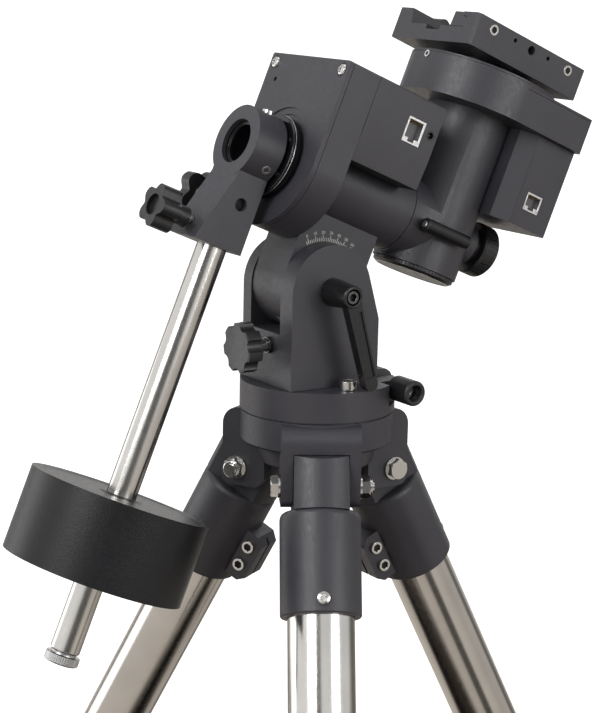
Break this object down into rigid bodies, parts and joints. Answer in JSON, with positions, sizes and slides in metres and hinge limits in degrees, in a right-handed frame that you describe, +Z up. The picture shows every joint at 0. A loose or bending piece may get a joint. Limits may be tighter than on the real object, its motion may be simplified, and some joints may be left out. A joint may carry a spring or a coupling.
{
  "type": "equatorial telescope mount",
  "caption": "Centre-balanced equatorial telescope mount: forked base on a folding tripod, tilted polar drive, declination head with saddle, counterweight on a shaft.",
  "frame": {"origin": "centre of the bounding box's base, on the floor under the feet", "axes": "+Z up; +X along the level direction of the polar axis, towards the declination head; -Y the side with the cable sockets and the lock lever"},
  "size_m": [0.6618, 0.7578, 1.006],
  "materials": {
    "paint": "fine-textured charcoal satin paint over cast aluminium",
    "anodised": "glossy black anodised",
    "plastic": "black moulded plastic",
    "iron": "black enamel on cast iron",
    "steel": "polished stainless steel",
    "gear": "machined brass",
    "board": "green circuit board with soldered parts"
  },
  "bodies": {
    "stand": {"tripod_hub": "paint", "leg_1_pivot_bolt": "steel", "leg_2_pivot_bolt": "steel", "leg_3_pivot_bolt": "steel"},
    "leg_1": {"leg_1_socket": "paint", "leg_1_upper_tube": "steel"},
    "leg_1_foot": {"leg_1_lower_tube": "steel"},
    "leg_1_knob": {"leg_1_lock_knob": "plastic"},
    "leg_2": {"leg_2_socket": "paint", "leg_2_upper_tube": "steel"},
    "leg_2_foot": {"leg_2_lower_tube": "steel"},
    "leg_2_knob": {"leg_2_lock_knob": "plastic"},
    "leg_3": {"leg_3_socket": "paint", "leg_3_upper_tube": "steel"},
    "leg_3_foot": {"leg_3_lower_tube": "steel"},
    "leg_3_knob": {"leg_3_lock_knob": "plastic"},
    "azimuth": {"azimuth_ring": "paint", "fork": "paint", "azimuth_lock_screw_near": "steel", "azimuth_lock_screw_far": "steel", "altitude_axle": "steel"},
    "azimuth_knob_near": {"azimuth_knob_near": "plastic"},
    "azimuth_knob_far": {"azimuth_knob_far": "plastic"},
    "altitude_lever": {"altitude_lock_lever": "plastic"},
    "altitude_drive": {"altitude_knob": "plastic", "altitude_worm": "steel"},
    "altitude": {"altitude_block": "paint", "ra_housing": "paint", "ra_front_plate": "paint", "electronics_cover": "paint", "control_board": "board", "ra_motor": "anodised", "ra_bearing_front": "steel", "ra_bearing_rear": "steel"},
    "ra_worm": {"ra_worm": "steel"},
    "right_ascension": {"ra_shaft": "anodised", "ra_worm_wheel": "gear", "counterweight_bracket": "paint", "counterweight_shaft": "steel", "shaft_end_cap": "steel", "dec_housing": "paint", "dec_bottom_cap": "anodised", "gear_cover": "paint", "motor_box": "paint", "driver_board": "board", "dec_motor": "anodised", "dec_bearing": "steel", "polar_eyepiece": "plastic"},
    "counterweight": {"counterweight": "iron"},
    "counterweight_clamp": {"counterweight_knob": "plastic"},
    "bracket_clamp_front": {"bracket_knob_front": "plastic"},
    "bracket_clamp_side": {"bracket_knob_side": "plastic"},
    "ra_clutch": {"ra_clutch_lever": "plastic"},
    "dec_worm": {"dec_worm": "steel"},
    "declination": {"dec_shaft": "steel", "dec_worm_wheel": "gear", "saddle": "paint", "saddle_insert": "paint"},
    "saddle_knob": {"saddle_knob": "plastic"},
    "saddle_pad": {"saddle_pad": "plastic"}
  },
  "joints": [
    {"name": "leg_1_fold", "type": "hinge", "parent": "stand", "child": "leg_1", "pos_m": [-0.05686, 0, 0.69882], "axis": [0, 1, 0], "range_deg": [0, 27.8]},
    {"name": "leg_1_length", "type": "slide", "parent": "leg_1", "child": "leg_1_foot", "axis": [-0.4664, 0, 0.8846], "range_m": [0, 0.26]},
    {"name": "leg_1_lock", "type": "hinge", "parent": "leg_1", "child": "leg_1_knob", "pos_m": [0.16743, 0, 0.33775], "axis": [0.8846, 0, 0.4664], "range_deg": [0, 180]},
    {"name": "leg_2_fold", "type": "hinge", "parent": "stand", "child": "leg_2", "pos_m": [-0.12811, 0.04114, 0.69882], "axis": [-0.866, -0.5, 0], "range_deg": [0, 27.8]},
    {"name": "leg_2_length", "type": "slide", "parent": "leg_2", "child": "leg_2_foot", "axis": [0.2332, -0.4039, 0.8846], "range_m": [0, 0.26]},
    {"name": "leg_2_lock", "type": "hinge", "parent": "leg_2", "child": "leg_2_knob", "pos_m": [-0.24025, 0.23537, 0.33775], "axis": [-0.4423, 0.7661, 0.4664], "range_deg": [0, 180]},
    {"name": "leg_3_fold", "type": "hinge", "parent": "stand", "child": "leg_3", "pos_m": [-0.12811, -0.04114, 0.69882], "axis": [0.866, -0.5, 0], "range_deg": [0, 27.8]},
    {"name": "leg_3_length", "type": "slide", "parent": "leg_3", "child": "leg_3_foot", "axis": [0.2332, 0.4039, 0.8846], "range_m": [0, 0.26]},
    {"name": "leg_3_lock", "type": "hinge", "parent": "leg_3", "child": "leg_3_knob", "pos_m": [-0.24025, -0.23537, 0.33775], "axis": [-0.4423, -0.7661, 0.4664], "range_deg": [0, 180]},
    {"name": "azimuth", "type": "hinge", "parent": "stand", "child": "azimuth", "pos_m": [-0.10436, 0, 0.75282], "axis": [0, 0, 1], "range_deg": [-6, 6]},
    {"name": "azimuth_screw_near", "type": "slide", "parent": "azimuth", "child": "azimuth_knob_near", "axis": [0, 1, 0], "range_m": [-0.0043, 0.0043]},
    {"name": "azimuth_screw_far", "type": "slide", "parent": "azimuth", "child": "azimuth_knob_far", "axis": [0, 1, 0], "range_m": [-0.0043, 0.0043]},
    {"name": "altitude_lock", "type": "hinge", "parent": "azimuth", "child": "altitude_lever", "pos_m": [-0.11636, -0.05, 0.82712], "axis": [0, 1, 0], "range_deg": [-90, 0]},
    {"name": "altitude_knob", "type": "hinge", "parent": "azimuth", "child": "altitude_drive", "pos_m": [-0.16436, -0.005, 0.78982], "axis": [1, 0, 0], "range_deg": [-1200, 3502]},
    {"name": "altitude", "type": "hinge", "parent": "azimuth", "child": "altitude", "pos_m": [-0.11636, 0, 0.82712], "axis": [0, 1, 0], "range_deg": [-12.75, 37.25]},
    {"name": "ra_worm", "type": "hinge", "parent": "altitude", "child": "ra_worm", "pos_m": [-0.11384, 0, 0.94794], "axis": [0, 1, 0], "range_deg": [-9620, 9620]},
    {"name": "right_ascension", "type": "hinge", "parent": "altitude", "child": "right_ascension", "pos_m": [-0.08736, 0, 0.88902], "axis": [0.9222, 0, -0.3867], "range_deg": [-100, 100]},
    {"name": "counterweight", "type": "slide", "parent": "right_ascension", "child": "counterweight", "axis": [0.3867, 0, 0.9222], "range_m": [-0.05, 0.085]},
    {"name": "counterweight_clamp", "type": "hinge", "parent": "counterweight", "child": "counterweight_clamp", "pos_m": [-0.26564, 0, 0.67436], "axis": [0, 1, 0], "range_deg": [0, 180]},
    {"name": "bracket_clamp_front", "type": "hinge", "parent": "right_ascension", "child": "bracket_clamp_front", "pos_m": [-0.22046, 0, 0.88194], "axis": [0.9222, 0, -0.3867], "range_deg": [0, 180]},
    {"name": "bracket_clamp_side", "type": "hinge", "parent": "right_ascension", "child": "bracket_clamp_side", "pos_m": [-0.1772, 0.03, 0.88527], "axis": [0, 1, 0], "range_deg": [0, 180]},
    {"name": "ra_clutch", "type": "hinge", "parent": "right_ascension", "child": "ra_clutch", "pos_m": [-0.03964, -0.03, 0.86576], "axis": [0, 1, 0], "range_deg": [0, 90]},
    {"name": "dec_worm", "type": "hinge", "parent": "right_ascension", "child": "dec_worm", "pos_m": [0.06749, 0, 0.92602], "axis": [0, 1, 0], "continuous": true},
    {"name": "declination", "type": "hinge", "parent": "right_ascension", "child": "declination", "pos_m": [0.02315, 0, 0.95112], "axis": [0.3867, 0, 0.9222], "continuous": true},
    {"name": "saddle_knob", "type": "hinge", "parent": "declination", "child": "saddle_knob", "pos_m": [0.03081, 0.05, 0.98206], "axis": [0, 1, 0], "range_deg": [0, 1440]},
    {"name": "saddle_pad", "type": "slide", "parent": "declination", "child": "saddle_pad", "axis": [0, -1, 0], "range_m": [0, 0.00501]}
  ],
  "couplings": [
    {"joint": "azimuth_screw_near", "follows": "azimuth", "m_per_rad": -0.0386},
    {"joint": "azimuth_screw_far", "follows": "azimuth", "m_per_rad": -0.0386},
    {"joint": "altitude_knob", "follows": "altitude", "ratio": 94},
    {"joint": "ra_worm", "follows": "right_ascension", "ratio": -96},
    {"joint": "dec_worm", "follows": "declination", "ratio": 96},
    {"joint": "saddle_pad", "follows": "saddle_knob", "m_per_rad": 0.000199}
  ]
}
